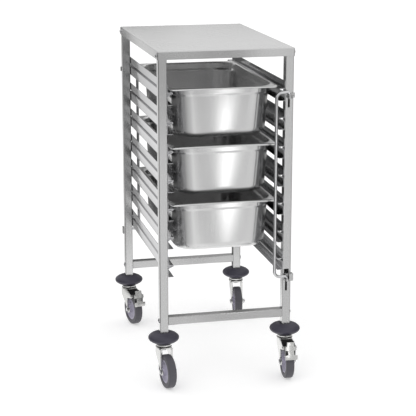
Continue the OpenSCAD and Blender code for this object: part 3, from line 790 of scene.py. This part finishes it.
for name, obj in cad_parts.items():
    finish = NODE_FINISHES.get(name.split("_")[0])
    if finish:
        obj.data.materials.clear()
        obj.data.materials.append(finish)


# Stage, light and camera, in metres

FLOOR_HALF = 14.0

# The tent: radius, height, its lift off the floor, the heights between which its low shades turn into its
# high ones, the radii between which its floor's shade turns into the wall's, the floor's shade, and its glow
TENT_R, TENT_H, TENT_LIFT = 1.15, 1.1, 0.0005
TENT_RISE, TENT_FLOOR, TENT_MIDDLE, TENT_GLOW = (0.5, 0.75), (0.4, 0.85), 0.42, 3.0

# Shades of the tent's wall low down and high up, as pairs of azimuth in degrees and level
TENT_LOW = [
    (-180, 0.05), (-150, 0.06), (-135, 0.1), (-120, 0.2), (-103, 0.27), (-94, 0.34), (-88, 0.34), (-84, 0.24),
    (-74, 0.23), (-71.5, 0.3), (-68, 0.3), (-45, 0.24), (-36, 0.04), (-5, 0.04), (10, 0.08), (25, 0.12),
    (45, 0.14), (80, 0.17), (86, 0.05), (103, 0.05), (107, 0.3), (113, 0.36), (128, 0.36), (140, 0.05),
]
TENT_HIGH = [
    (-180, 0.04), (-150, 0.05), (-135, 0.06), (-121, 0.12), (-107, 0.18), (-99, 0.2), (-94, 0.22),
    (-88, 0.22), (-84, 0.17), (-74, 0.17), (-71.5, 0.33), (-66, 0.33), (-45, 0.2), (-36, 0.03),
    (-5, 0.04), (10, 0.08), (25, 0.12), (45, 0.14), (80, 0.17), (86, 0.04), (103, 0.04),
    (107, 0.22), (112, 0.3), (130, 0.34), (142, 0.05),
]

# A narrow lit strip in front, added to the wall: its level by azimuth, and its share by height
STRIP = [(-180, 0), (-79.4, 0), (-78.4, 1.3), (-77.7, 1.3), (-76.6, 0)]
STRIP_HEIGHT = [(0.005, 0), (0.03, 1), (0.62, 1), (0.72, 0)]

# Shades of the room's walls and of its ceiling, by azimuth, and the slopes between which one turns into the
# other
ROOM = [(-180, 0.25), (-140, 0.25), (-105, 0.4), (-76, 0.5), (-45, 0.3), (0, 0.4), (45, 0.5), (85, 0.48),
        (110, 0.25), (180, 0.25)]
CEILING = [(-180, 0.5), (-130, 0.5), (-105, 0.55), (-45, 0.55), (-20, 0.5), (180, 0.48)]
ROOM_RISE = (0.1, 0.45)

# The camera: the photograph's width and the lens's focal length in pixels, the width of the film in
# millimetres, its place, and its turns to the right, downwards and round its own line in degrees
PHOTO_W, FOCAL, FILM_W = 416.0, 1345.19, 36.0
CAMERA_PLACE = (-0.91692, -3.97542, 1.49032)
CAMERA_TURN, CAMERA_DIP, CAMERA_ROLL = 13.233, 14.261, -0.043


def stage_object(name, points, faces, mat):
    """A part of the stage from points and faces."""
    mesh = bpy.data.meshes.new(name)
    mesh.from_pydata(points, [], faces)
    mesh.materials.append(mat)
    obj = bpy.data.objects.new(name, mesh)
    bpy.context.scene.collection.objects.link(obj)
    return obj


def stage_floor():
    """A wide pale floor that looks white to the camera, in metal and through glass, and keeps the soft
    shadow."""
    mat, shader, add = new_finish("pale_floor", (0.8, 0.8, 0.8), 0.0, 1.0)
    shader.inputs["Specular IOR Level"].default_value = 0.0
    shader.inputs["Emission Color"].default_value = grey(1)
    rays = add("LightPath")
    seen = maths(add, "MAXIMUM", rays["Is Camera Ray"], rays["Is Glossy Ray"])
    seen = maths(add, "MAXIMUM", seen, rays["Is Transmission Ray"])
    link(maths(add, "MULTIPLY", seen, 0.38), shader, "Emission Strength")
    r = FLOOR_HALF
    stage_object("floor", [(-r, -r, 0), (r, -r, 0), (r, r, 0), (-r, r, 0)], [(0, 1, 2, 3)], mat)


def greys(add, share, levels):
    """A grey that follows a share from nought to one, from pairs of share and level."""
    ramp = add("ValToRGB", {"Fac": share})
    stops = ramp["Color"].node.color_ramp.elements
    while len(stops) < len(levels):
        stops.new(0.5)
    for stop, (place, level) in zip(stops, levels):
        stop.position = place
        stop.color = grey(level)
    return ramp["Color"]


def shades(add, azimuth, levels):
    """A grey that follows the azimuth, from pairs of degrees and level."""
    return greys(add, azimuth, [((angle + 180) / 360, level) for angle, level in levels])


def azimuth_share(add, east, north):
    """The azimuth from minus to plus 180 degrees as a share from nought to one."""
    return ranged(add, maths(add, "ARCTAN2", north, east), -math.pi, math.pi)


def tent():
    """A round cloth wall with a floor, which only metal sees. The wall's shade follows the azimuth and
    changes from its low part to its high part: pale in front and at the rear left, dark on both sides. The
    floor's shade follows the distance from its middle."""
    mat = bpy.data.materials.new("tent_cloth")
    mat.use_nodes = True
    mat.node_tree.nodes.clear()
    add = node_maker(mat.node_tree)
    where = add("SeparateXYZ", {0: add("TexCoord")["Object"]})
    azimuth = azimuth_share(add, where["X"], where["Y"])
    rise = ranged(add, where["Z"], *TENT_RISE)
    wall = mixed(add, rise, shades(add, azimuth, TENT_LOW), shades(add, azimuth, TENT_HIGH))
    flat = add("CombineXYZ", {"X": where["X"], "Y": where["Y"]})[0]
    away = add("VectorMath", {0: flat}, operation="LENGTH")["Value"]
    cloth = mixed(add, ranged(add, away, *TENT_FLOOR), grey(TENT_MIDDLE), wall)
    strip = maths(add, "MULTIPLY", shades(add, azimuth, STRIP), greys(add, where["Z"], STRIP_HEIGHT))
    cloth = mixed(add, strip, cloth, grey(1), how="ADD")
    glow = add("Emission", {"Color": cloth, "Strength": TENT_GLOW})[0]
    add("OutputMaterial", {"Surface": glow})
    n = 96
    a = np.linspace(0, 2 * np.pi, n, endpoint=False)
    ring = np.stack([TENT_R * np.cos(a), TENT_R * np.sin(a), 0 * a], axis=-1)
    i = np.arange(n)
    j = (i + 1) % n
    faces = np.stack([j, i, i + n, j + n], axis=-1).tolist() + [i.tolist()]
    cloth_tent = stage_object("tent", np.concatenate([ring, ring + (0, 0, TENT_H)]).tolist(), faces, mat)
    cloth_tent.location.z = TENT_LIFT
    cloth_tent.visible_camera = cloth_tent.visible_diffuse = cloth_tent.visible_shadow = False


def studio_world():
    """A white studio: what is seen directly is white. Metal sees soft grey curtains round the walls
    instead, by the direction's azimuth, which fade into a brighter ceiling."""
    world = bpy.data.worlds.new("studio")
    bpy.context.scene.world = world
    world.use_nodes = True
    background = world.node_tree.nodes["Background"]
    add = node_maker(world.node_tree)
    way = add("SeparateXYZ", {0: add("TexCoord")["Generated"]})
    azimuth = azimuth_share(add, way["X"], way["Y"])
    rise = ranged(add, way["Z"], *ROOM_RISE)
    room = mixed(add, rise, shades(add, azimuth, ROOM), shades(add, azimuth, CEILING))
    rays = add("LightPath")
    light = mixed(add, rays["Is Glossy Ray"], grey(0.45), room)
    link(mixed(add, rays["Is Camera Ray"], light, grey(0.5)), background, "Color")
    background.inputs["Strength"].default_value = 2.0


def soft_light(name, place, target, size, power):
    """A rectangular lamp turned to its target, which metal doesn't mirror."""
    lamp = bpy.data.lights.new(name, "AREA")
    lamp.shape = "RECTANGLE"
    lamp.size, lamp.size_y = size
    lamp.energy = power
    obj = bpy.data.objects.new(name, lamp)
    obj.location = place
    obj.rotation_mode = "QUATERNION"
    obj.rotation_quaternion = (Vector(target) - Vector(place)).to_track_quat("-Z", "Y")
    obj.visible_glossy = False
    bpy.context.scene.collection.objects.link(obj)


def camera():
    """The photograph's view: from the front left, above the worktop, with a long lens."""
    data = bpy.data.cameras.new("camera")
    data.sensor_width = FILM_W
    data.lens = FOCAL * FILM_W / PHOTO_W
    data.clip_start, data.clip_end = 0.1, 60.0
    cam = bpy.data.objects.new("camera", data)
    turn, dip, roll = math.radians(CAMERA_TURN), math.radians(CAMERA_DIP), math.radians(CAMERA_ROLL)
    cam.matrix_world = (
        Matrix.Translation(CAMERA_PLACE)
        @ Matrix.Rotation(-turn, 4, "Z")
        @ Matrix.Rotation(math.pi / 2 - dip, 4, "X")
        @ Matrix.Rotation(-roll, 4, "Z")
    )
    bpy.context.scene.collection.objects.link(cam)
    bpy.context.scene.camera = cam


stage_floor()
tent()
studio_world()
soft_light("key", place=(-1.6, -2.4, 2.8), target=(0, 0, 0.6), size=(1.6, 1.6), power=10)
camera()
bpy.context.scene.view_settings.view_transform = "Standard"
